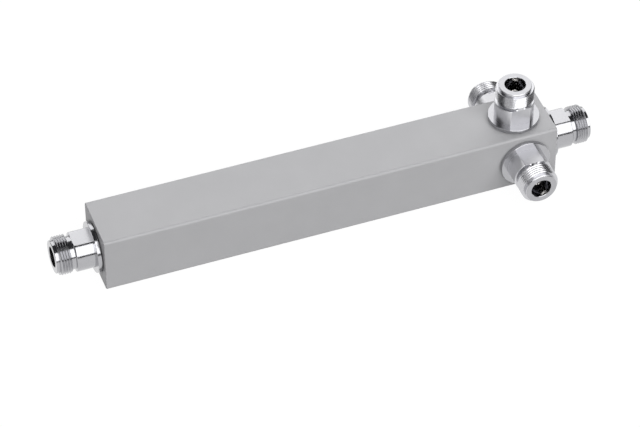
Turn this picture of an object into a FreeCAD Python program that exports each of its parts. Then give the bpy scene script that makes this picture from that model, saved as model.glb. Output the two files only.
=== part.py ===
"""Coaxial power splitter: a square aluminium bar with one input port and four output ports.

Millimetres. The bar lies along X, +Z is up and the origin is the centre of its bottom face.
The input port is on the -X end. The outputs leave the +X end, and the top, front and back
faces near that end. Each port is a threaded 50 ohm jack, and the bar's bore holds a stepped
inner line that matches the input to the four outputs side by side.
"""

import FreeCAD, Part
import os
from collections import namedtuple
from FreeCAD import Vector

# Bar: square section with a round bore right through it
bar_length = 192.0
bar_side = 25.4
bar_edge_radius = 1.1
bar_end_chamfer = 0.2
cavity_diameter = 20.0

# Where the three side outputs stand, measured from the output end of the bar
side_port_inset = 14.1

# End plugs, pressed into the bore flush with the bar's ends
plug_length = 6.0
press_clearance = 0.01

# Port shell, outside: lengths run outwards from the bar's face, one after the other
gasket_thickness = 0.4
flange_thickness = 1.6
wrench_length = 7.7
neck_length = 2.05
thread_length = 4.8
pilot_length = 1.2
nose_length = 0.15

flange_diameter = 21.0
wrench_diameter = 16.1
wrench_across_flats = 13.8
thread_diameter = 15.875
neck_depth = 1.1
neck_slope_length = 0.25
pilot_depth = 1.2
nose_depth = 1.35
flange_chamfer = 0.1
wrench_chamfer = 0.2
thread_chamfer = 0.35

# Port shell, behind the flange: the stem screws into the bar's wall or the end plug
stem_diameter = 15.0
stem_clearance = 0.05
stem_end_gap = 0.1

# Gasket between flange and bar: how far its bore clears the stem, and its rim stands back
gasket_bore_clearance = 0.25
gasket_rim_inset = 0.6

# Port shell, inside: the socket, the 50 ohm land and the seat of the insulator
socket_diameter = 8.5
socket_mouth_chamfer = 0.15
socket_depth = 9.1
land_diameter = 7.0
land_length = 1.2
insulator_seat_diameter = 8.0

# Insulator, and the bush that locks it in its seat
insulator_clearance = 0.02
bush_length = 1.5

# Bore round the contact's tail behind the insulator, in the bush and in the end plugs
tail_bore_diameter = 5.5

# Centre contact: a slotted socket in front, a plain tail behind
contact_diameter = 3.04
contact_recess = 4.1
contact_tip_chamfer = 0.2
contact_hole_diameter = 1.65
contact_hole_depth = 5.2
contact_slot_width = 0.35
contact_slot_length = 4.6
contact_slot_count = 4
contact_tail_diameter = 2.4
contact_fit_clearance = 0.02
tail_engagement = 3.5
tail_hole_end_gap = 0.2

# Inner line: equal steps that grow from the input end to the side ports, and the gaps
# between the line's ends and the end plugs
step_diameters = (9.3, 11.6, 14.5, 15.9)
input_end_gap = 4.0
output_end_gap = 1.5

# Support beads of the inner line: how many steps of the line lie before each bead's shoulder
support_bead_length = 5.0
support_bead_clearance = 0.02
input_bead_step_count = 1
output_bead_step_count = 3

# Places along X that follow from the sizes above
half_length = bar_length / 2
half_side = bar_side / 2
side_port_x = half_length - side_port_inset
line_start_x = plug_length + input_end_gap - half_length
line_end_x = half_length - plug_length - output_end_gap
step_length = (side_port_x - line_start_x) / len(step_diameters)

# Heights above the bar's face, along a port's axis
wrench_start = gasket_thickness + flange_thickness
neck_start = wrench_start + wrench_length
flat_end = neck_start + neck_slope_length
thread_start = neck_start + neck_length
pilot_start = thread_start + thread_length
nose_start = pilot_start + pilot_length
port_length = nose_start + nose_length
reference_plane = port_length - socket_depth
insulator_front = reference_plane - land_length
contact_tip = port_length - contact_recess

# Depths below the bar's face: the stem ends level with the top of the bore
stem_end = -(bar_side - cavity_diameter) / 2
insulator_back = stem_end + bush_length

# Each port: the centre of its seat, its outward axis, and the way one wrench flat faces
Port = namedtuple("Port", "seat axis flat_side")
UP = Vector(0, 0, 1)
FRONT = Vector(0, -1, 0)
PORTS = {
    "input": Port(Vector(-half_length, 0, half_side), Vector(-1, 0, 0), UP),
    "end": Port(Vector(half_length, 0, half_side), Vector(1, 0, 0), UP),
    "front": Port(Vector(side_port_x, -half_side, half_side), FRONT, UP),
    "back": Port(Vector(side_port_x, half_side, half_side), -FRONT, UP),
    "top": Port(Vector(side_port_x, 0, bar_side), UP, FRONT),
}
SIDE_PORTS = ("front", "back", "top")
END_PLUGS = {"input_plug": "input", "end_plug": "end"}
SUPPORT_BEADS = {
    "input_support_bead": input_bead_step_count,
    "output_support_bead": output_bead_step_count,
}

# Depth below the bar's face at which each port's tail enters the inner line
LINE_SURFACE = {name: step_diameters[-1] / 2 - half_side for name in SIDE_PORTS}
LINE_SURFACE["input"] = -half_length - line_start_x
LINE_SURFACE["end"] = line_end_x - half_length


def revolved(outline):
    """Solid of revolution about Z from (radius, height) points."""
    points = [Vector(radius, 0, height) for radius, height in outline]
    face = Part.Face(Part.makePolygon(points + points[:1]))
    return face.revolve(Vector(0, 0, 0), Vector(0, 0, 1), 360)


def ring(outer_diameter, inner_diameter, bottom, top):
    """Plain ring about Z between two heights."""
    outer, inner = outer_diameter / 2, inner_diameter / 2
    return revolved([(inner, bottom), (outer, bottom), (outer, top), (inner, top)])


def rod(diameter, bottom, top):
    """Plain rod about Z between two heights."""
    return Part.makeCylinder(diameter / 2, top - bottom, Vector(0, 0, bottom))


def at_port(shape, name):
    """The shape moved from the port frame (seat at the origin, axis +Z, one flat +X) to the bar."""
    port = PORTS[name]
    rotation = FreeCAD.Rotation(port.flat_side, port.axis.cross(port.flat_side), port.axis, "ZXY")
    placed = shape.copy()
    placed.Placement = FreeCAD.Placement(port.seat, rotation)
    return placed


def along_bar(shape, start_x=0.0):
    """The shape turned from +Z to +X and set on the bar's axis."""
    turned = shape.copy()
    turned.Placement = FreeCAD.Placement(
        Vector(start_x, 0, half_side), FreeCAD.Rotation(Vector(0, 1, 0), 90)
    )
    return turned


def make_bar():
    """Square bar with rounded long edges, its bore, and a hole in the wall for each side port."""
    bar = Part.makeBox(bar_length, bar_side, bar_side, Vector(-half_length, -half_side, 0))
    long_edges = [edge for edge in bar.Edges if abs(edge.tangentAt(edge.FirstParameter).x) > 0.5]
    bar = bar.makeFillet(bar_edge_radius, long_edges)
    ends = [face for face in bar.Faces if abs(face.normalAt(0, 0).x) > 0.5]
    bar = bar.makeChamfer(bar_end_chamfer, [edge for face in ends for edge in face.Edges])
    bar = bar.cut(along_bar(rod(cavity_diameter, -half_length, half_length)))
    stem_hole = rod(stem_diameter + 2 * stem_clearance, -half_side, 0)
    return bar.cut([at_port(stem_hole, name) for name in SIDE_PORTS])


def make_plug():
    """End plug in the port frame: a disc with the stem's hole and the tail's bore behind it."""
    outer = cavity_diameter / 2 - press_clearance
    hole = stem_diameter / 2 + stem_clearance
    hole_end = stem_end - stem_end_gap
    tail_bore = tail_bore_diameter / 2
    return revolved([
        (outer, -plug_length), (outer, 0), (hole, 0), (hole, hole_end),
        (tail_bore, hole_end), (tail_bore, -plug_length),
    ])


def make_shell():
    """Turned shell in the port frame: flange, flats, grooved neck, thread land, pilot and nose."""
    stem, flange, wrench = stem_diameter / 2, flange_diameter / 2, wrench_diameter / 2
    thread = thread_diameter / 2
    neck, pilot, nose = thread - neck_depth, thread - pilot_depth, thread - nose_depth
    socket, land, seat = socket_diameter / 2, land_diameter / 2, insulator_seat_diameter / 2
    outside = [
        (stem, stem_end), (stem, gasket_thickness),
        (flange, gasket_thickness), (flange, wrench_start - flange_chamfer),
        (flange - flange_chamfer, wrench_start), (wrench, wrench_start),
        (wrench, neck_start - wrench_chamfer), (wrench - wrench_chamfer, neck_start),
        (neck, flat_end), (neck, thread_start - neck_slope_length), (thread, thread_start),
        (thread, pilot_start - thread_chamfer), (thread - thread_chamfer, pilot_start),
        (pilot, pilot_start), (pilot, nose_start), (nose, port_length),
    ]
    inside = [
        (socket + socket_mouth_chamfer, port_length), (socket, port_length - socket_mouth_chamfer),
        (socket, reference_plane), (land, reference_plane),
        (land, insulator_front), (seat, insulator_front), (seat, stem_end),
    ]
    shell = revolved(outside + inside)
    return shell.cut([flat_cutter(side) for side in (1, -1)])


def flat_cutter(side):
    """Block that mills one wrench flat, into the neck; side is +1 or -1 along X."""
    depth = (wrench_diameter - wrench_across_flats) / 2
    start_x = wrench_across_flats / 2 if side > 0 else -wrench_diameter / 2 - depth
    corner = Vector(start_x, -wrench_diameter / 2, wrench_start)
    return Part.makeBox(2 * depth, wrench_diameter, flat_end - wrench_start, corner)


def make_contact(line_surface):
    """Centre contact in the port frame, its tail reaching into the line's surface at that depth."""
    tail, contact, hole = contact_tail_diameter / 2, contact_diameter / 2, contact_hole_diameter / 2
    tail_end = line_surface - tail_engagement
    hole_end = contact_tip - contact_hole_depth
    body = revolved([
        (0, tail_end), (tail, tail_end), (tail, insulator_front), (contact, insulator_front),
        (contact, contact_tip - contact_tip_chamfer), (contact - contact_tip_chamfer, contact_tip),
        (hole, contact_tip), (hole, hole_end), (0, hole_end),
    ])
    return body.cut([slot_cutter(index) for index in range(contact_slot_count)])


def slot_cutter(index):
    """Block that saws one slot from the contact's axis outwards, through the tip."""
    corner = Vector(0, -contact_slot_width / 2, contact_tip - contact_slot_length)
    slot = Part.makeBox(contact_diameter, contact_slot_width, 2 * contact_slot_length, corner)
    slot.rotate(Vector(0, 0, 0), Vector(0, 0, 1), 360 / contact_slot_count * index)
    return slot


def make_inner_line():
    """Stepped rod with a blind hole for the tail of each port's contact."""
    outline = [(0, line_start_x)]
    for index, diameter in enumerate(step_diameters):
        start_x = line_start_x + index * step_length
        outline.append((diameter / 2, start_x))
        outline.append((diameter / 2, start_x + step_length))
    outline[-1] = (step_diameters[-1] / 2, line_end_x)
    outline.append((0, line_end_x))
    line = along_bar(revolved(outline))
    return line.cut([at_port(tail_hole(LINE_SURFACE[name]), name) for name in PORTS])


def tail_hole(line_surface):
    """Cutter, in the port frame, for the blind hole that takes a contact's tail."""
    hole_end = line_surface - tail_engagement - tail_hole_end_gap
    return rod(contact_tail_diameter + 2 * contact_fit_clearance, hole_end, stem_end)


def make_support_bead(step_count):
    """Disc round the line, against the shoulder that follows so many of its steps."""
    shoulder_x = line_start_x + step_count * step_length
    outer = cavity_diameter - 2 * support_bead_clearance
    inner = step_diameters[step_count - 1] + 2 * support_bead_clearance
    return along_bar(ring(outer, inner, -support_bead_length, 0), shoulder_x)


def make_port(name):
    """The five pieces of one port, by node name."""
    pieces = {
        "gasket": ring(
            flange_diameter - 2 * gasket_rim_inset,
            stem_diameter + 2 * gasket_bore_clearance,
            0, gasket_thickness,
        ),
        "shell": make_shell(),
        "insulator": ring(
            insulator_seat_diameter - 2 * insulator_clearance,
            contact_tail_diameter + 2 * contact_fit_clearance,
            insulator_back, insulator_front,
        ),
        "bush": ring(
            insulator_seat_diameter - 2 * press_clearance,
            tail_bore_diameter,
            stem_end, insulator_back,
        ),
        "contact": make_contact(LINE_SURFACE[name]),
    }
    return {f"{name}_{piece}": at_port(shape, name) for piece, shape in pieces.items()}


def make_all():
    """Every piece of the splitter, by node name."""
    nodes = {"bar": make_bar(), "inner_line": make_inner_line()}
    for plug, port in END_PLUGS.items():
        nodes[plug] = at_port(make_plug(), port)
    for bead, step_count in SUPPORT_BEADS.items():
        nodes[bead] = make_support_bead(step_count)
    for name in PORTS:
        nodes.update(make_port(name))
    return nodes


os.makedirs("parts", exist_ok=True)
for node, shape in make_all().items():
    assert shape.isValid() and len(shape.Solids) == 1, node
    shape.exportStep(f"parts/{node}.step")
    print(f"{node}: volume {shape.Volume:.2f} mm3")
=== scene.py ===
"""Looks of a coaxial power splitter: a matt aluminium bar with plated, threaded ports.

Blender 4.5. The scene is in metres, in the frame of the solids: the bar lies along X, +Z is up
and the origin is the centre of the bar's bottom face. Names that end in _mm hold millimetres.
"""

import logging
import math
from abc import ABC, abstractmethod
from dataclasses import dataclass
from enum import Enum
from typing import Any, Callable, Iterable, Mapping, Optional, Sequence, Union

import bmesh
import bpy
from mathutils import Matrix, Vector

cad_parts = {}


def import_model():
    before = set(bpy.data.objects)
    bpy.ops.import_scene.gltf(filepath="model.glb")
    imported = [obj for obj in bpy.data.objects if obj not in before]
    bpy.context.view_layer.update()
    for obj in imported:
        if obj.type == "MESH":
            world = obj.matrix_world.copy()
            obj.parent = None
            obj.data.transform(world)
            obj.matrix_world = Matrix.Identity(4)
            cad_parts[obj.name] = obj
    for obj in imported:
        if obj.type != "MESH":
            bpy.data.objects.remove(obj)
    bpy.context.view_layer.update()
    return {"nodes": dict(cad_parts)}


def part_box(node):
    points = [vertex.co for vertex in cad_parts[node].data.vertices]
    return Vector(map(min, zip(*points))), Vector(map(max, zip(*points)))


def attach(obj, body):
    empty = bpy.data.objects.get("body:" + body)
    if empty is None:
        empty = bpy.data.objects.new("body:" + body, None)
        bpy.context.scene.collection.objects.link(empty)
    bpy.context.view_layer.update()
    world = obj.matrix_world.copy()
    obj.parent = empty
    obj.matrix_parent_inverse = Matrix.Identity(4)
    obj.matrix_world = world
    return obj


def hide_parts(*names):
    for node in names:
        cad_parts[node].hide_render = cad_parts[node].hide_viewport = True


MM = 0.001
IMAGE_WIDTH_PX = 640
SENSOR_WIDTH_MM = 36.0
ROOT_BODY = "root"
WELD_MM = 0.0005
SHARP_EDGE_DEG = 28
NEARLY_ZERO = 1e-6
LOG = logging.getLogger("power_splitter")

Ring = Callable[[float], tuple[float, float]]
SocketKey = Union[str, int]


def linear_colour(hex_code: str, alpha: float = 1.0) -> tuple[float, float, float, float]:
    """Turns an sRGB hex colour into the linear colour that a shader takes.

    Args:
        hex_code: six hex digits after a hash sign.
        alpha: opacity, passed through.

    Returns:
        Linear red, green, blue and alpha.
    """
    channels = (int(hex_code[i:i + 2], 16) / 255 for i in (1, 3, 5))
    linear = [c / 12.92 if c <= 0.04045 else ((c + 0.055) / 1.055) ** 2.4 for c in channels]
    return (*linear, alpha)


def add_node(
    tree: bpy.types.NodeTree,
    kind: str,
    settings: Optional[Mapping[SocketKey, Any]] = None,
    links: Optional[Mapping[SocketKey, bpy.types.NodeSocket]] = None,
) -> bpy.types.Node:
    """Adds a node to a tree, with its settings and links.

    Args:
        tree: tree of a material or of the world.
        kind: type of the node, such as "ShaderNodeBump".
        settings: values of properties, or of input sockets by name or number.
        links: output sockets that feed input sockets, by name or number.

    Returns:
        The new node.
    """
    node = tree.nodes.new(kind)
    for key, value in (settings or {}).items():
        if isinstance(key, int) or key in node.inputs:
            node.inputs[key].default_value = value
        else:
            setattr(node, key, value)
    for key, source in (links or {}).items():
        tree.links.new(source, node.inputs[key])
    return node


def per_metre(size_mm: float) -> float:
    """Scale of a texture whose features are this many millimetres across."""
    return 1.0 / (size_mm * MM)


# Finishes


@dataclass(frozen=True)
class Finish(ABC):
    """A real material with a real surface, made as one node material."""

    name: str
    base_hex: str
    roughness: float

    def material(self) -> bpy.types.Material:
        """Makes the finish's material, or gives it back if it is already made.

        Returns:
            The material.
        """
        made = bpy.data.materials.get(self.name)
        if made is not None:
            return made
        made = bpy.data.materials.new(self.name)
        made.use_nodes = True
        tree = made.node_tree
        tree.nodes.clear()
        shader = self.shade(tree)
        add_node(tree, "ShaderNodeOutputMaterial", links={"Surface": shader.outputs[0]})
        made.diffuse_color = linear_colour(self.base_hex)
        return made

    @abstractmethod
    def shade(self, tree: bpy.types.NodeTree) -> bpy.types.Node:
        """Builds the nodes of the finish.

        Args:
            tree: the material's empty tree.

        Returns:
            The shader node.
        """


@dataclass(frozen=True)
class PatternedFinish(Finish):
    """A finish whose colour, gloss and relief follow the pattern that its making has left."""

    pale_hex: str
    roughness_spread: float
    relief_mm: float
    metallic: float

    def surface(
        self,
        tree: bpy.types.NodeTree,
        paleness: bpy.types.NodeSocket,
        wear: bpy.types.NodeSocket,
        relief: bpy.types.NodeSocket,
        most_wear: float = 1.0,
    ) -> bpy.types.Node:
        """Builds the shader from the patterns of the finish.

        Args:
            tree: the material's tree.
            paleness: share of the pale colour, from 0 to 1.
            wear: pattern that the roughness follows, from 0 up.
            relief: pattern that stands out of the surface, from 0 to 1.
            most_wear: value of the wear at which the surface is roughest.

        Returns:
            The shader node.
        """
        colour = add_node(
            tree, "ShaderNodeMix",
            {"data_type": "RGBA", 6: linear_colour(self.base_hex), 7: linear_colour(self.pale_hex)},
            {0: paleness},
        ).outputs[2]
        roughness = add_node(
            tree, "ShaderNodeMapRange",
            {
                "From Max": most_wear,
                "To Min": self.roughness - self.roughness_spread,
                "To Max": self.roughness + self.roughness_spread,
            },
            {"Value": wear},
        ).outputs[0]
        bump = add_node(
            tree, "ShaderNodeBump", {"Strength": 1.0, "Distance": self.relief_mm * MM}, {"Height": relief}
        ).outputs[0]
        return add_node(
            tree, "ShaderNodeBsdfPrincipled", {"Metallic": self.metallic},
            {"Base Color": colour, "Roughness": roughness, "Normal": bump},
        )


@dataclass(frozen=True)
class BlastedAluminium(PatternedFinish):
    """Drawn aluminium, bead blasted and clear anodised: an even, satin grey with a fine grain."""

    grain_mm: float
    cloud_mm: float

    def shade(self, tree: bpy.types.NodeTree) -> bpy.types.Node:
        """Builds the nodes of the finish.

        Args:
            tree: the material's empty tree.

        Returns:
            The shader node.
        """
        place = add_node(tree, "ShaderNodeTexCoord").outputs["Object"]
        grain = add_node(
            tree, "ShaderNodeTexNoise",
            {"Scale": per_metre(self.grain_mm), "Detail": 3.0, "Roughness": 0.6},
            {"Vector": place},
        ).outputs[0]
        cloud = add_node(
            tree, "ShaderNodeTexNoise",
            {"Scale": per_metre(self.cloud_mm), "Detail": 2.0},
            {"Vector": place},
        ).outputs[0]
        # Half the grain and the whole cloud average 0.75 and seldom leave 0.45 to 1.05.
        both = add_node(
            tree, "ShaderNodeMath", {"operation": "MULTIPLY_ADD", 1: 0.5}, {0: grain, 2: cloud}
        ).outputs[0]
        paleness = add_node(
            tree, "ShaderNodeMapRange", {"From Min": 0.45, "From Max": 1.05}, {"Value": both}
        ).outputs[0]
        return self.surface(tree, paleness, grain, grain)


@dataclass(frozen=True)
class TurnedMetal(PatternedFinish):
    """Metal turned on a lathe: fine rings round the axis, which the tool has left."""

    ring_mm: float
    cloud_mm: float
    face_share: float = 0.7

    def ring_position(self, tree: bpy.types.NodeTree, place: bpy.types.NodeSocket) -> bpy.types.NodeSocket:
        """Distance travelled by the tool, along the axis and across the faces.

        Args:
            tree: the material's tree.
            place: position in the object's own space, whose Z is the axis.

        Returns:
            A socket with the distance in metres.
        """
        parts = add_node(tree, "ShaderNodeSeparateXYZ", links={0: place})
        flat = add_node(tree, "ShaderNodeCombineXYZ", links={0: parts.outputs[0], 1: parts.outputs[1]})
        radius = add_node(
            tree, "ShaderNodeVectorMath", {"operation": "LENGTH"}, {0: flat.outputs[0]}
        ).outputs["Value"]
        return add_node(
            tree, "ShaderNodeMath", {"operation": "MULTIPLY_ADD", 1: self.face_share},
            {0: radius, 2: parts.outputs[2]},
        ).outputs[0]

    def shade(self, tree: bpy.types.NodeTree) -> bpy.types.Node:
        """Builds the nodes of the finish.

        Args:
            tree: the material's empty tree.

        Returns:
            The shader node.
        """
        place = add_node(tree, "ShaderNodeTexCoord").outputs["Object"]
        rings = add_node(
            tree, "ShaderNodeTexNoise",
            {"noise_dimensions": "1D", "Scale": per_metre(self.ring_mm), "Detail": 2.0},
            {"W": self.ring_position(tree, place)},
        ).outputs[0]
        cloud = add_node(
            tree, "ShaderNodeTexNoise", {"Scale": per_metre(self.cloud_mm), "Detail": 3.0}, {"Vector": place}
        ).outputs[0]
        wear = add_node(
            tree, "ShaderNodeMath", {"operation": "ADD"}, {0: rings, 1: cloud}
        ).outputs[0]
        return self.surface(tree, cloud, wear, rings, most_wear=2.0)


@dataclass(frozen=True)
class MilledMetal(PatternedFinish):
    """Metal milled flat: satin, with faint streaks across the flat that the cutter has left."""

    streak_mm: float
    streak_length_mm: float

    def shade(self, tree: bpy.types.NodeTree) -> bpy.types.Node:
        """Builds the nodes of the finish; the streaks run along the object's own Y.

        Args:
            tree: the material's empty tree.

        Returns:
            The shader node.
        """
        place = add_node(tree, "ShaderNodeTexCoord").outputs["Object"]
        fine, long = per_metre(self.streak_mm), per_metre(self.streak_length_mm)
        drawn_out = add_node(
            tree, "ShaderNodeVectorMath", {"operation": "MULTIPLY", 1: (fine, long, fine)}, {0: place}
        ).outputs[0]
        streaks = add_node(
            tree, "ShaderNodeTexNoise", {"Scale": 1.0, "Detail": 3.0, "Roughness": 0.6}, {"Vector": drawn_out}
        ).outputs[0]
        return self.surface(tree, streaks, streaks, streaks)


@dataclass(frozen=True)
class Moulded(PatternedFinish):
    """Plastic or rubber as it leaves the mould: a soft surface with a faint, uneven skin."""

    skin_mm: float

    def shade(self, tree: bpy.types.NodeTree) -> bpy.types.Node:
        """Builds the nodes of the finish.

        Args:
            tree: the material's empty tree.

        Returns:
            The shader node.
        """
        place = add_node(tree, "ShaderNodeTexCoord").outputs["Object"]
        skin = add_node(
            tree, "ShaderNodeTexNoise", {"Scale": per_metre(self.skin_mm), "Detail": 4.0}, {"Vector": place}
        ).outputs[0]
        return self.surface(tree, skin, skin, skin)


@dataclass(frozen=True)
class StudioPaper(Finish):
    """White paper of the floor: plain white to the eye, with a faint shadow."""

    glow: float

    def shade(self, tree: bpy.types.NodeTree) -> bpy.types.Node:
        """Builds the nodes of the finish.

        Args:
            tree: the material's empty tree.

        Returns:
            The shader node.
        """
        paper = add_node(
            tree, "ShaderNodeBsdfDiffuse",
            {"Color": linear_colour(self.base_hex), "Roughness": self.roughness},
        )
        path = add_node(tree, "ShaderNodeLightPath")
        seen = add_node(
            tree, "ShaderNodeMath", {"operation": "MAXIMUM"},
            {0: path.outputs["Is Camera Ray"], 1: path.outputs["Is Glossy Ray"]},
        )
        seen = add_node(
            tree, "ShaderNodeMath", {"operation": "MAXIMUM"},
            {0: seen.outputs[0], 1: path.outputs["Is Transmission Ray"]},
        )
        strength = add_node(
            tree, "ShaderNodeMath", {"operation": "MULTIPLY", 1: self.glow}, {0: seen.outputs[0]}
        )
        white = add_node(tree, "ShaderNodeEmission", links={"Strength": strength.outputs[0]})
        return add_node(
            tree, "ShaderNodeAddShader", links={0: paper.outputs[0], 1: white.outputs[0]}
        )


# The bar: blasting leaves it matt and even, and anodising adds a trace of gloss. The real grain
# is near 0.1 mm; it is drawn coarser, or it would not show.
BAR_ALUMINIUM = BlastedAluminium(
    name="bead_blasted_anodised_aluminium", base_hex="#C2C2C4", pale_hex="#C7C7C9", metallic=0.08,
    roughness=0.5, roughness_spread=0.05, relief_mm=0.012, grain_mm=0.35, cloud_mm=14.0,
)
# The shells: white bronze over turned brass mirrors the room, a little blurred by the rings.
# A finishing cut leaves rings about 0.1 mm apart; they are drawn at 0.3 mm here and below.
PLATED_SHELL = TurnedMetal(
    name="white_bronze_plated_turned_brass", base_hex="#ADADB0", pale_hex="#B7B7BA", metallic=1.0,
    roughness=0.15, roughness_spread=0.05, relief_mm=0.002, ring_mm=0.3, cloud_mm=2.5,
)
# The wrench flats: the same plating over milled brass is satin and blurs what it mirrors. It is
# painted paler than the shells, as painted light for the bright sheen on the flats. The cutter's
# streaks are drawn 0.5 mm wide, where real ones are nearer 0.1 mm.
PLATED_FLAT_PAINTED_LIGHTER = MilledMetal(
    name="white_bronze_milled_brass_painted_lighter", base_hex="#BFBFC2", pale_hex="#C9C9CC", metallic=1.0,
    roughness=0.33, roughness_spread=0.06, relief_mm=0.004, streak_mm=0.5, streak_length_mm=9.0,
)
# The side ports' necks, threads and noses: the plating over a rougher cut mirrors more softly. It
# is painted paler than the end ports' shells, as painted light for how brightly these parts are lit.
SATIN_THREAD_PAINTED_LIGHTER = TurnedMetal(
    name="white_bronze_rough_turned_painted_lighter", base_hex="#C6C6C9", pale_hex="#D0D0D3", metallic=1.0,
    roughness=0.24, roughness_spread=0.05, relief_mm=0.003, ring_mm=0.3, cloud_mm=2.5,
)
# The side ports' wrench sections between the flats: plated over the drawn bar's own skin, they
# are satin. They are painted much paler than the end ports' shells, as painted light for how
# brightly they are lit. The skin's faint rings are drawn at 0.5 mm.
SATIN_ROUND_PAINTED_LIGHTER = TurnedMetal(
    name="white_bronze_drawn_brass_painted_lighter", base_hex="#D8D8DB", pale_hex="#E0E0E3", metallic=1.0,
    roughness=0.36, roughness_spread=0.05, relief_mm=0.002, ring_mm=0.5, cloud_mm=2.5,
)
# The contacts, the bushes and the inner line: silver plate is paler and warmer than the shells.
SILVER_PLATE = TurnedMetal(
    name="silver_plated_turned_brass", base_hex="#DAD7D0", pale_hex="#E6E3DD", metallic=1.0,
    roughness=0.22, roughness_spread=0.06, relief_mm=0.002, ring_mm=0.3, cloud_mm=3.0,
)
# The end plugs: bare aluminium off the lathe, with rings that catch the light.
TURNED_ALUMINIUM = TurnedMetal(
    name="turned_aluminium", base_hex="#BEBFC1", pale_hex="#C9CACB", metallic=1.0,
    roughness=0.3, roughness_spread=0.08, relief_mm=0.004, ring_mm=0.3, cloud_mm=4.0,
)
# The ports' insulators: dull plastic, made near black as painted shade for the dark depths of the
# mouths. Its skin, and those of the beads and gaskets, are drawn coarser than real ones of about 0.1 mm.
INSULATOR_PAINTED_SHADE_BLACK = Moulded(
    name="moulded_insulator_plastic_painted_shade_black", base_hex="#1B1B1C", pale_hex="#262627", metallic=0.0,
    roughness=0.55, roughness_spread=0.08, relief_mm=0.004, skin_mm=0.4,
)
# The support beads: sintered PTFE is waxy, dense white.
PTFE = Moulded(
    name="sintered_ptfe", base_hex="#E9E9E5", pale_hex="#F3F3F0", metallic=0.0,
    roughness=0.42, roughness_spread=0.06, relief_mm=0.004, skin_mm=0.6,
)
# The gaskets: nitrile rubber is near black and takes no sharp highlight. Their black draws the
# dark line at the foot of each flange, which is partly painted shade.
NITRILE_WITH_PAINTED_SHADE = Moulded(
    name="moulded_nitrile_rubber_and_painted_shade", base_hex="#161617", pale_hex="#242425", metallic=0.0,
    roughness=0.7, roughness_spread=0.1, relief_mm=0.01, skin_mm=0.4,
)
# The floor: matt paper that shows white to the eye and in the plating. Its own colour is kept
# dark, so that the object's shadow on it stays as faint as in the photograph.
PAPER = StudioPaper(name="white_studio_paper", base_hex="#4C4C4C", roughness=0.0, glow=0.96)


# Ports


class Port(Enum):
    """The ports, by the word that their nodes' names begin with."""

    INPUT = "input"
    END = "end"
    FRONT = "front"
    BACK = "back"
    TOP = "top"


SIDE_PORTS = (Port.FRONT, Port.BACK, Port.TOP)
UP = Vector((0, 0, 1))
FRONT = Vector((0, -1, 0))
OUTWARD = {
    Port.INPUT: Vector((-1, 0, 0)),
    Port.END: Vector((1, 0, 0)),
    Port.FRONT: FRONT,
    Port.BACK: -FRONT,
    Port.TOP: UP,
}


def port_place(port: Port) -> Matrix:
    """Finds the place of a port on the bar.

    Args:
        port: which port.

    Returns:
        Matrix whose origin is the port's seat on the bar's face, with +Z outwards and +X
        through one wrench flat.
    """
    outward = OUTWARD[port]
    bar_low, bar_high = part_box("bar")
    shell_low, shell_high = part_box(f"{port.value}_shell")
    seat = (shell_low + shell_high) / 2
    for i in range(3):
        if outward[i]:
            seat[i] = bar_high[i] if outward[i] > 0 else bar_low[i]
    flat_way = FRONT if port is Port.TOP else UP
    across = outward.cross(flat_way)
    turn = Matrix((flat_way, across, outward)).transposed()
    return Matrix.Translation(seat) @ turn.to_4x4()


def ring(radius: float, height: float) -> Ring:
    """A round ring of a turned piece."""
    return lambda angle: (radius, height)


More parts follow.
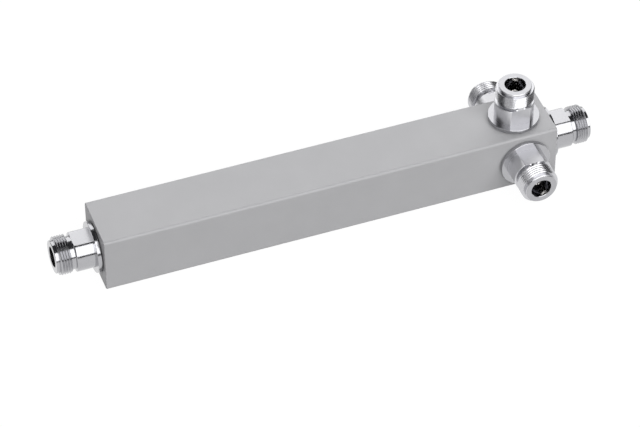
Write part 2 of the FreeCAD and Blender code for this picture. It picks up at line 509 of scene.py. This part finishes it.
@dataclass
class PortShell:
    """Shell of one port, from its stem in the bar to its mouth, with a real thread.

    Heights are measured outwards from the bar's face, along the port's axis. The upper finish is
    that of all between the wrench section and the mouth. What lies within seam_mm of a border
    counts as on it.
    """

    port: Port
    finish: Finish = PLATED_SHELL
    flat_finish: Finish = PLATED_FLAT_PAINTED_LIGHTER
    wrench_finish: Finish = PLATED_SHELL
    upper_finish: Finish = PLATED_SHELL
    stem_radius_mm: float = 7.5
    stem_end_mm: float = -2.7
    flange_start_mm: float = 0.4
    flange_radius_mm: float = 10.5
    flange_edge_mm: float = 0.1
    flange_inner_mm: float = 1.2
    wrench_start_mm: float = 2.0
    wrench_radius_mm: float = 8.05
    half_across_flats_mm: float = 6.9
    flat_edge_soft_mm: float = 0.06
    wrench_end_mm: float = 9.7
    wrench_chamfer_mm: float = 0.2
    neck_start_mm: float = 9.95
    neck_radius_mm: float = 6.8375
    thread_foot_mm: float = 11.5
    thread_start_mm: float = 11.75
    thread_end_mm: float = 16.55
    thread_radius_mm: float = 7.9375
    thread_chamfer_mm: float = 0.35
    pitch_mm: float = 25.4 / 24
    thread_depth_mm: float = 0.48
    thread_lead: float = 0.25
    thread_rows: int = 12
    pilot_radius_mm: float = 6.7375
    nose_chamfer_mm: float = 0.15
    mouth_mm: float = 17.9
    socket_radius_mm: float = 4.25
    mouth_chamfer_mm: float = 0.15
    reference_plane_mm: float = 8.8
    land_radius_mm: float = 3.5
    insulator_front_mm: float = 7.6
    seat_radius_mm: float = 4.0
    edge_break_mm: float = 0.08
    seam_mm: float = 0.002
    flat_facing: float = 0.999
    columns: int = 160

    def flat_edge_angles(self) -> list[float]:
        """Angles at which the two flats and their soft edges meet the round stretches.

        Returns:
            Angles in all four quarters.
        """
        half = math.acos(self.half_across_flats_mm / self.wrench_radius_mm)
        soft = self.flat_edge_soft_mm / (self.wrench_radius_mm * math.tan(half))
        halves = [half + soft * share for share in (-1.0, -0.5, 0.0, 0.5, 1.0)]
        halves.append(math.acos(self.half_across_flats_mm / (self.wrench_radius_mm - self.wrench_chamfer_mm)))
        return [a for h in halves for a in (h, math.pi - h, math.pi + h, math.tau - h)]

    def angles(self) -> list[float]:
        """Angles of the columns: evenly spaced, with the flats' edges in place of near ones.

        Returns:
            Angles from 0 to a full turn, both included.
        """
        edges = self.flat_edge_angles()
        near = math.tau / self.columns / 4
        even = [math.tau * i / self.columns for i in range(self.columns + 1)]
        kept = [a for a in even if all(abs(a - edge) > near for edge in edges)]
        return sorted(kept + edges)

    def flat_ring(self, radius: float, height: float) -> Ring:
        """A ring of the wrench section: round, but cut back at its two soft-edged flats.

        Args:
            radius: radius of the round stretches, in millimetres.
            height: height of the ring, in millimetres.

        Returns:
            The ring.
        """
        def point(angle: float) -> tuple[float, float]:
            reach = self.half_across_flats_mm / max(abs(math.cos(angle)), NEARLY_ZERO)
            overlap = max(self.flat_edge_soft_mm - abs(radius - reach), 0.0)
            return (min(radius, reach) - overlap ** 2 / (4 * self.flat_edge_soft_mm), height)
        return point

    def thread_depth_share(self, phase: float) -> float:
        """How deep the groove is at a share of the pitch, from 0 at the crest to 1 at the root.

        Args:
            phase: place within one pitch, from 0 to 1.

        Returns:
            Share of the full depth.
        """
        return (1 - math.cos(math.tau * phase)) / 2

    def thread_rings(self) -> list[Ring]:
        """Rings of the thread, each one turn of a helix that stops at the thread's two ends.

        Returns:
            The rings, from the neck to the pilot band.
        """
        turns = math.ceil((self.thread_end_mm - self.thread_foot_mm) / self.pitch_mm)
        first, last = -self.thread_rows, (turns + 1) * self.thread_rows
        return [self.thread_ring(row / self.thread_rows) for row in range(first, last)]

    def thread_ring(self, start_turn: float) -> Ring:
        """One ring of the thread.

        Args:
            start_turn: place of the ring at angle 0, in pitches from the thread's foot.

        Returns:
            The ring.
        """
        def point(angle: float) -> tuple[float, float]:
            turn = start_turn + self.thread_lead + angle / math.tau
            height = self.thread_foot_mm + self.pitch_mm * turn
            height = min(max(height, self.thread_foot_mm), self.thread_end_mm)
            phase = (height - self.thread_foot_mm) / self.pitch_mm - self.thread_lead - angle / math.tau
            radius = self.thread_radius_mm - self.thread_depth_mm * self.thread_depth_share(phase)
            return (self.trimmed_radius(radius, height), height)
        return point

    def trimmed_radius(self, radius: float, height: float) -> float:
        """Trims the thread to the neck's slope at its foot and to the chamfer at its end.

        Args:
            radius: radius of the endless thread, in millimetres.
            height: height on the shell, in millimetres.

        Returns:
            The radius that is left, in millimetres.
        """
        climb = (height - self.thread_foot_mm) / (self.thread_start_mm - self.thread_foot_mm)
        slope = self.neck_radius_mm + (self.thread_radius_mm - self.neck_radius_mm) * climb
        cut = max(self.thread_chamfer_mm - (self.thread_end_mm - height), 0.0)
        return min(radius, slope, self.thread_radius_mm - cut)

    def rings(self) -> list[Ring]:
        """All rings of the shell, up its outside, over the nose and down its inside.

        Returns:
            The rings, in an order that closes on itself.
        """
        edge = self.edge_break_mm
        flange, wrench, neck = self.flange_radius_mm, self.wrench_radius_mm, self.neck_radius_mm
        top, low = self.wrench_start_mm, self.flange_start_mm
        chamfer = self.wrench_chamfer_mm
        lower = [
            ring(self.stem_radius_mm, self.stem_end_mm), ring(self.stem_radius_mm, low),
            ring(flange - edge, low), ring(flange, low + edge),
            ring(flange, top - self.flange_edge_mm), ring(flange - self.flange_edge_mm, top),
            ring(wrench + self.flange_inner_mm, top),
            self.flat_ring(wrench, top),
            self.flat_ring(wrench, self.wrench_end_mm - chamfer),
            self.flat_ring(wrench - chamfer, self.wrench_end_mm),
            ring(neck, self.neck_start_mm), ring(neck, self.thread_foot_mm),
        ]
        nose = [
            ring(self.pilot_radius_mm, self.thread_end_mm),
            ring(self.pilot_radius_mm, self.mouth_mm - self.nose_chamfer_mm),
            ring(self.pilot_radius_mm - self.nose_chamfer_mm, self.mouth_mm),
            ring(self.socket_radius_mm + self.mouth_chamfer_mm, self.mouth_mm),
            ring(self.socket_radius_mm, self.mouth_mm - self.mouth_chamfer_mm),
        ]
        inside = [
            ring(self.socket_radius_mm, self.reference_plane_mm),
            ring(self.land_radius_mm, self.reference_plane_mm),
            ring(self.land_radius_mm, self.insulator_front_mm),
            ring(self.seat_radius_mm, self.insulator_front_mm),
            ring(self.seat_radius_mm, self.stem_end_mm),
        ]
        return lower + self.thread_rings() + nose + inside

    def face_finish(self, centre: Vector, normal: Vector) -> Finish:
        """Picks the finish of one face of the shell.

        Args:
            centre: middle of the face, in the shell's own space.
            normal: the face's normal, in the same space; the wrench flats face X both ways.

        Returns:
            The finish.
        """
        height, radius = centre.z / MM, math.hypot(centre.x, centre.y) / MM
        off_flat = abs(abs(centre.x) / MM - self.half_across_flats_mm)
        if abs(normal.x) > self.flat_facing and off_flat < self.seam_mm:
            return self.flat_finish
        above_flange = self.wrench_start_mm + self.seam_mm < height < self.mouth_mm - self.seam_mm
        inside = radius < self.socket_radius_mm + self.mouth_chamfer_mm
        if inside or not above_flange:
            return self.finish
        return self.wrench_finish if height < self.wrench_end_mm else self.upper_finish

    def finish_faces(self, mesh: bpy.types.Mesh) -> None:
        """Gives each face of the shell its finish.

        Args:
            mesh: the shell's mesh.
        """
        for face in mesh.polygons:
            material = self.face_finish(face.center, face.normal).material()
            if material.name not in mesh.materials:
                mesh.materials.append(material)
            face.material_index = mesh.materials.find(material.name)

    def build(self) -> bpy.types.Object:
        """Builds, places and dresses the shell, in place of the solid's plain one.

        Returns:
            The shell's object.
        """
        shell = turned_object(f"{self.port.value}_threaded_shell", self.rings(), self.angles())
        self.finish_faces(shell.data)
        shell.matrix_world = port_place(self.port)
        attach(shell, ROOT_BODY)
        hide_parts(f"{self.port.value}_shell")
        return shell


def port_shell(port: Port) -> PortShell:
    """Describes the shell of one port.

    Args:
        port: which port.

    Returns:
        The shell; those of the side ports are satin above their flanges, and painted paler there as painted
        light.
    """
    if port in SIDE_PORTS:
        return PortShell(port, wrench_finish=SATIN_ROUND_PAINTED_LIGHTER, upper_finish=SATIN_THREAD_PAINTED_LIGHTER)
    return PortShell(port)


def turned_object(name: str, rings: Sequence[Ring], angles: Sequence[float]) -> bpy.types.Object:
    """Skins rings round the Z axis into one closed surface.

    Args:
        name: name of the object.
        rings: rings in order; the last joins the first. Radii and heights are in millimetres.
        angles: angles of the columns, from 0 to a full turn.

    Returns:
        An object with its own origin on the axis.
    """
    mesh_maker = bmesh.new()
    grid = []
    for row in rings:
        points = [(angle, *row(angle)) for angle in angles]
        grid.append([
            mesh_maker.verts.new((radius * MM * math.cos(a), radius * MM * math.sin(a), height * MM))
            for a, radius, height in points
        ])
    for here, above in zip(grid, grid[1:] + grid[:1]):
        for i in range(len(angles) - 1):
            mesh_maker.faces.new((here[i], here[i + 1], above[i + 1], above[i]))
    bmesh.ops.remove_doubles(mesh_maker, verts=mesh_maker.verts, dist=WELD_MM * MM)
    bmesh.ops.dissolve_degenerate(mesh_maker, edges=mesh_maker.edges, dist=WELD_MM * MM)
    bmesh.ops.recalc_face_normals(mesh_maker, faces=mesh_maker.faces)
    mesh = bpy.data.meshes.new(name)
    mesh_maker.to_mesh(mesh)
    mesh_maker.free()
    mesh.shade_smooth()
    mesh.set_sharp_from_angle(angle=math.radians(SHARP_EDGE_DEG))
    piece = bpy.data.objects.new(name, mesh)
    bpy.context.scene.collection.objects.link(piece)
    return piece


# Pieces that keep their solid shape


@dataclass
class CarriedNode:
    """A piece whose solid already has the real shape, and gets its finish here."""

    node: str
    finish: Finish

    def dress(self, nodes: Mapping[str, bpy.types.Object]) -> None:
        """Puts the finish on the solid.

        Args:
            nodes: the frame's nodes by name.
        """
        slots = nodes[self.node].data.materials
        slots.clear()
        slots.append(self.finish.material())


def carried_nodes() -> list[CarriedNode]:
    """The bar, the inner line and every port's small pieces.

    Returns:
        Each piece with its finish.
    """
    carried = [
        CarriedNode("bar", BAR_ALUMINIUM),
        CarriedNode("input_plug", TURNED_ALUMINIUM),
        CarriedNode("end_plug", TURNED_ALUMINIUM),
        CarriedNode("inner_line", SILVER_PLATE),
        CarriedNode("input_support_bead", PTFE),
        CarriedNode("output_support_bead", PTFE),
    ]
    for port in Port:
        carried += [
            CarriedNode(f"{port.value}_gasket", NITRILE_WITH_PAINTED_SHADE),
            CarriedNode(f"{port.value}_insulator", INSULATOR_PAINTED_SHADE_BLACK),
            CarriedNode(f"{port.value}_bush", SILVER_PLATE),
            CarriedNode(f"{port.value}_contact", SILVER_PLATE),
        ]
    return carried


# Studio


@dataclass
class Softbox:
    """A large, soft lamp that faces the object."""

    name: str
    azimuth_deg: float
    elevation_deg: float
    distance: float
    width: float
    height: float
    radiance: float

    def build(self) -> bpy.types.Object:
        """Builds the lamp.

        Returns:
            The lamp's object.
        """
        lamp = bpy.data.lights.new(self.name, "AREA")
        lamp.shape = "RECTANGLE"
        lamp.size = self.width
        lamp.size_y = self.height
        lamp.energy = self.radiance * self.width * self.height * math.pi
        way = direction(self.azimuth_deg, self.elevation_deg)
        placed = bpy.data.objects.new(self.name, lamp)
        placed.location = way * self.distance
        placed.rotation_mode = "QUATERNION"
        placed.rotation_quaternion = way.to_track_quat("Z", "Y")
        bpy.context.scene.collection.objects.link(placed)
        return placed


@dataclass
class PaperFloor:
    """A flat, round sheet of paper just under the object."""

    finish: Finish = PAPER
    radius: float = 3.4
    drop: float = 0.05 * MM
    columns: int = 96

    def build(self) -> bpy.types.Object:
        """Builds the floor.

        Returns:
            The floor's object.
        """
        turns = [math.tau * i / self.columns for i in range(self.columns)]
        rim = [(self.radius * math.cos(a), self.radius * math.sin(a), -self.drop) for a in turns]
        mesh = bpy.data.meshes.new("paper_floor")
        mesh.from_pydata(rim, [], [list(range(self.columns))])
        mesh.materials.append(self.finish.material())
        floor = bpy.data.objects.new("paper_floor", mesh)
        bpy.context.scene.collection.objects.link(floor)
        return floor


def direction(azimuth_deg: float, elevation_deg: float) -> Vector:
    """Unit vector from the object towards a place in the studio.

    Args:
        azimuth_deg: 0 is in front, on the -Y side, and 90 is on the +X side.
        elevation_deg: angle above the floor.

    Returns:
        The vector.
    """
    azimuth, elevation = math.radians(azimuth_deg), math.radians(elevation_deg)
    level = math.cos(elevation)
    return Vector((math.sin(azimuth) * level, -math.cos(azimuth) * level, math.sin(elevation)))


@dataclass
class StudioCamera:
    """Camera at the photograph's place, with its long lens."""

    focal_length_px: float = 3264.33
    azimuth_deg: float = -20.343
    elevation_deg: float = 43.434
    roll_deg: float = 0.061
    distance_mm: float = 1311.68
    aim_height_mm: float = 12.5
    aim_right_of_centre_px: float = 3.946
    aim_above_centre_px: float = 25.013

    def build(self) -> bpy.types.Object:
        """Builds the camera and makes it the scene's.

        Returns:
            The camera's object.
        """
        lens = bpy.data.cameras.new("studio_camera")
        lens.sensor_width = SENSOR_WIDTH_MM
        lens.lens = self.focal_length_px / IMAGE_WIDTH_PX * SENSOR_WIDTH_MM
        lens.shift_x = -self.aim_right_of_centre_px / IMAGE_WIDTH_PX
        lens.shift_y = -self.aim_above_centre_px / IMAGE_WIDTH_PX
        lens.clip_start = 0.05
        lens.clip_end = 50.0
        back = direction(self.azimuth_deg, self.elevation_deg)
        azimuth, roll = math.radians(self.azimuth_deg), math.radians(self.roll_deg)
        level = Vector((math.cos(azimuth), math.sin(azimuth), 0))
        upright = back.cross(level)
        right = level * math.cos(roll) + upright * math.sin(roll)
        camera = bpy.data.objects.new("studio_camera", lens)
        turn = Matrix((right, back.cross(right), back)).transposed().to_4x4()
        aim = Vector((0, 0, self.aim_height_mm * MM))
        camera.matrix_world = Matrix.Translation(aim + back * self.distance_mm * MM) @ turn
        bpy.context.scene.collection.objects.link(camera)
        bpy.context.scene.camera = camera
        return camera


@dataclass
class Studio:
    """Floor, lamps, dim room and camera."""

    room_hex: str = "#3A3A3C"
    softboxes: Sequence[Softbox] = (
        Softbox("front_softbox", 12.0, 36.5, distance=2.2, width=2.5, height=2.2, radiance=2.5),
        Softbox("left_softbox", -50.0, 36.5, distance=2.2, width=2.3, height=2.2, radiance=0.7),
        Softbox("back_softbox", 165.0, 32.0, distance=2.2, width=4.8, height=1.9, radiance=1.6),
    )

    def build(self) -> None:
        """Builds the whole studio."""
        PaperFloor().build()
        for softbox in self.softboxes:
            softbox.build()
        StudioCamera().build()
        self.build_room()
        bpy.context.scene.view_settings.view_transform = "Standard"

    def build_room(self) -> None:
        """Makes the dim, plain room that surrounds the lamps."""
        world = bpy.data.worlds.new("dim_room")
        world.use_nodes = True
        tree = world.node_tree
        tree.nodes.clear()
        room = add_node(
            tree, "ShaderNodeBackground", {"Color": linear_colour(self.room_hex), "Strength": 1.0}
        )
        add_node(tree, "ShaderNodeOutputWorld", links={"Surface": room.outputs[0]})
        bpy.context.scene.world = world


def main() -> None:
    """Dresses the splitter and sets up its studio."""
    logging.basicConfig(level=logging.INFO, format="%(message)s")
    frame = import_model()
    for carried in carried_nodes():
        carried.dress(frame["nodes"])
        LOG.info("%s: %s", carried.node, carried.finish.name)
    for port in Port:
        shell = port_shell(port).build()
        LOG.info("%s: %d faces", shell.name, len(shell.data.polygons))
    Studio().build()


if __name__ == "__main__":
    main()
